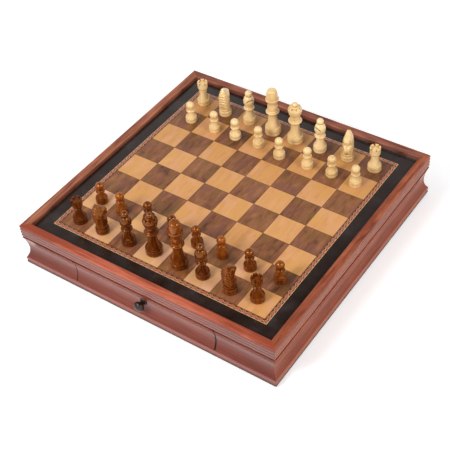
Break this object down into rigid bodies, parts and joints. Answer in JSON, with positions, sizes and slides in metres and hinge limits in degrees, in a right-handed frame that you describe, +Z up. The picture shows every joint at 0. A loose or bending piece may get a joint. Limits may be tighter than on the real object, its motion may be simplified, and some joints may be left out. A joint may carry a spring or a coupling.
{
  "type": "chess box with drawers",
  "caption": "Inlaid chess board on a moulded wooden case with a drawer at each player's side, set up with turned chessmen.",
  "frame": {"origin": "middle of the case on the surface it stands on, at the bottom of the felt pads", "axes": "+Z up; the dark army and the front drawer face -Y, the light army and the rear drawer face +Y; +X to the right of the dark player"},
  "size_m": [0.3786, 0.396, 0.1321],
  "materials": {
    "cherry": "red cherry stain under satin lacquer, orange-red on the rim and pinkish brown on the sides",
    "inside_wood": "plain unlacquered wood",
    "drawer_wood": "plain sanded wood",
    "pad_felt": "pressed felt",
    "lining_felt": "glued felt lining",
    "black_border": "black veneer under gloss lacquer",
    "mosaic_inlay": "mosaic inlay of red, cream and black blocks between thin lines",
    "maple": "honey maple veneer with fine grain, gloss lacquer",
    "walnut": "walnut veneer with darker streaks, gloss lacquer",
    "knob_bronze": "dark oiled bronze, almost black",
    "screw_steel": "bright zinc plate",
    "light_men": "pale boxwood, waxed",
    "dark_men": "brown stained wood under gloss lacquer"
  },
  "bodies": {
    "case": {"front_rail": "cherry", "rear_rail": "cherry", "left_rail": "cherry", "right_rail": "cherry", "bottom_panel": "inside_wood", "centre_partition": "inside_wood", "drawer_guides": "inside_wood", "corner_blocks": "inside_wood", "foot_pads": "pad_felt", "board_core": "inside_wood", "black_border": "black_border", "inlay_band": "mosaic_inlay", "light_squares": "maple", "dark_squares": "walnut"},
    "front_drawer": {"front_drawer_face": "cherry", "front_drawer_sides": "drawer_wood", "front_drawer_back": "drawer_wood", "front_drawer_bottom": "drawer_wood", "front_drawer_lining": "lining_felt", "front_drawer_knob": "knob_bronze", "front_knob_screw": "screw_steel"},
    "rear_drawer": {"rear_drawer_face": "cherry", "rear_drawer_sides": "drawer_wood", "rear_drawer_back": "drawer_wood", "rear_drawer_bottom": "drawer_wood", "rear_drawer_lining": "lining_felt", "rear_drawer_knob": "knob_bronze", "rear_knob_screw": "screw_steel"},
    "dark_rook_left": {"dark_rook_left": "dark_men"},
    "dark_knight_left": {"dark_knight_left": "dark_men"},
    "dark_bishop_left": {"dark_bishop_left": "dark_men"},
    "dark_queen": {"dark_queen": "dark_men"},
    "dark_king": {"dark_king": "dark_men"},
    "dark_bishop_right": {"dark_bishop_right": "dark_men"},
    "dark_knight_right": {"dark_knight_right": "dark_men"},
    "dark_rook_right": {"dark_rook_right": "dark_men"},
    "dark_pawn_1": {"dark_pawn_1": "dark_men"},
    "dark_pawn_2": {"dark_pawn_2": "dark_men"},
    "dark_pawn_3": {"dark_pawn_3": "dark_men"},
    "dark_pawn_4": {"dark_pawn_4": "dark_men"},
    "dark_pawn_5": {"dark_pawn_5": "dark_men"},
    "dark_pawn_6": {"dark_pawn_6": "dark_men"},
    "dark_pawn_7": {"dark_pawn_7": "dark_men"},
    "dark_pawn_8": {"dark_pawn_8": "dark_men"},
    "light_rook_left": {"light_rook_left": "light_men"},
    "light_knight_left": {"light_knight_left": "light_men"},
    "light_bishop_left": {"light_bishop_left": "light_men"},
    "light_king": {"light_king": "light_men"},
    "light_queen": {"light_queen": "light_men"},
    "light_bishop_right": {"light_bishop_right": "light_men"},
    "light_knight_right": {"light_knight_right": "light_men"},
    "light_rook_right": {"light_rook_right": "light_men"},
    "light_pawn_1": {"light_pawn_1": "light_men"},
    "light_pawn_2": {"light_pawn_2": "light_men"},
    "light_pawn_3": {"light_pawn_3": "light_men"},
    "light_pawn_4": {"light_pawn_4": "light_men"},
    "light_pawn_5": {"light_pawn_5": "light_men"},
    "light_pawn_6": {"light_pawn_6": "light_men"},
    "light_pawn_7": {"light_pawn_7": "light_men"},
    "light_pawn_8": {"light_pawn_8": "light_men"}
  },
  "joints": [
    {"name": "front_drawer_slide", "type": "slide", "parent": "case", "child": "front_drawer", "axis": [0, -1, 0], "range_m": [0, 0.125]},
    {"name": "rear_drawer_slide", "type": "slide", "parent": "case", "child": "rear_drawer", "axis": [0, 1, 0], "range_m": [0, 0.125]},
    {"name": "lift_dark_rook_left", "type": "slide", "parent": "case", "child": "dark_rook_left", "axis": [0, 0, 1], "range_m": [0, 0.08]},
    {"name": "lift_dark_knight_left", "type": "slide", "parent": "case", "child": "dark_knight_left", "axis": [0, 0, 1], "range_m": [0, 0.08]},
    {"name": "lift_dark_bishop_left", "type": "slide", "parent": "case", "child": "dark_bishop_left", "axis": [0, 0, 1], "range_m": [0, 0.08]},
    {"name": "lift_dark_queen", "type": "slide", "parent": "case", "child": "dark_queen", "axis": [0, 0, 1], "range_m": [0, 0.08]},
    {"name": "lift_dark_king", "type": "slide", "parent": "case", "child": "dark_king", "axis": [0, 0, 1], "range_m": [0, 0.08]},
    {"name": "lift_dark_bishop_right", "type": "slide", "parent": "case", "child": "dark_bishop_right", "axis": [0, 0, 1], "range_m": [0, 0.08]},
    {"name": "lift_dark_knight_right", "type": "slide", "parent": "case", "child": "dark_knight_right", "axis": [0, 0, 1], "range_m": [0, 0.08]},
    {"name": "lift_dark_rook_right", "type": "slide", "parent": "case", "child": "dark_rook_right", "axis": [0, 0, 1], "range_m": [0, 0.08]},
    {"name": "lift_dark_pawn_1", "type": "slide", "parent": "case", "child": "dark_pawn_1", "axis": [0, 0, 1], "range_m": [0, 0.08]},
    {"name": "lift_dark_pawn_2", "type": "slide", "parent": "case", "child": "dark_pawn_2", "axis": [0, 0, 1], "range_m": [0, 0.08]},
    {"name": "lift_dark_pawn_3", "type": "slide", "parent": "case", "child": "dark_pawn_3", "axis": [0, 0, 1], "range_m": [0, 0.08]},
    {"name": "lift_dark_pawn_4", "type": "slide", "parent": "case", "child": "dark_pawn_4", "axis": [0, 0, 1], "range_m": [0, 0.08]},
    {"name": "lift_dark_pawn_5", "type": "slide", "parent": "case", "child": "dark_pawn_5", "axis": [0, 0, 1], "range_m": [0, 0.08]},
    {"name": "lift_dark_pawn_6", "type": "slide", "parent": "case", "child": "dark_pawn_6", "axis": [0, 0, 1], "range_m": [0, 0.08]},
    {"name": "lift_dark_pawn_7", "type": "slide", "parent": "case", "child": "dark_pawn_7", "axis": [0, 0, 1], "range_m": [0, 0.08]},
    {"name": "lift_dark_pawn_8", "type": "slide", "parent": "case", "child": "dark_pawn_8", "axis": [0, 0, 1], "range_m": [0, 0.08]},
    {"name": "lift_light_rook_left", "type": "slide", "parent": "case", "child": "light_rook_left", "axis": [0, 0, 1], "range_m": [0, 0.08]},
    {"name": "lift_light_knight_left", "type": "slide", "parent": "case", "child": "light_knight_left", "axis": [0, 0, 1], "range_m": [0, 0.08]},
    {"name": "lift_light_bishop_left", "type": "slide", "parent": "case", "child": "light_bishop_left", "axis": [0, 0, 1], "range_m": [0, 0.08]},
    {"name": "lift_light_king", "type": "slide", "parent": "case", "child": "light_king", "axis": [0, 0, 1], "range_m": [0, 0.08]},
    {"name": "lift_light_queen", "type": "slide", "parent": "case", "child": "light_queen", "axis": [0, 0, 1], "range_m": [0, 0.08]},
    {"name": "lift_light_bishop_right", "type": "slide", "parent": "case", "child": "light_bishop_right", "axis": [0, 0, 1], "range_m": [0, 0.08]},
    {"name": "lift_light_knight_right", "type": "slide", "parent": "case", "child": "light_knight_right", "axis": [0, 0, 1], "range_m": [0, 0.08]},
    {"name": "lift_light_rook_right", "type": "slide", "parent": "case", "child": "light_rook_right", "axis": [0, 0, 1], "range_m": [0, 0.08]},
    {"name": "lift_light_pawn_1", "type": "slide", "parent": "case", "child": "light_pawn_1", "axis": [0, 0, 1], "range_m": [0, 0.08]},
    {"name": "lift_light_pawn_2", "type": "slide", "parent": "case", "child": "light_pawn_2", "axis": [0, 0, 1], "range_m": [0, 0.08]},
    {"name": "lift_light_pawn_3", "type": "slide", "parent": "case", "child": "light_pawn_3", "axis": [0, 0, 1], "range_m": [0, 0.08]},
    {"name": "lift_light_pawn_4", "type": "slide", "parent": "case", "child": "light_pawn_4", "axis": [0, 0, 1], "range_m": [0, 0.08]},
    {"name": "lift_light_pawn_5", "type": "slide", "parent": "case", "child": "light_pawn_5", "axis": [0, 0, 1], "range_m": [0, 0.08]},
    {"name": "lift_light_pawn_6", "type": "slide", "parent": "case", "child": "light_pawn_6", "axis": [0, 0, 1], "range_m": [0, 0.08]},
    {"name": "lift_light_pawn_7", "type": "slide", "parent": "case", "child": "light_pawn_7", "axis": [0, 0, 1], "range_m": [0, 0.08]},
    {"name": "lift_light_pawn_8", "type": "slide", "parent": "case", "child": "light_pawn_8", "axis": [0, 0, 1], "range_m": [0, 0.08]}
  ]
}
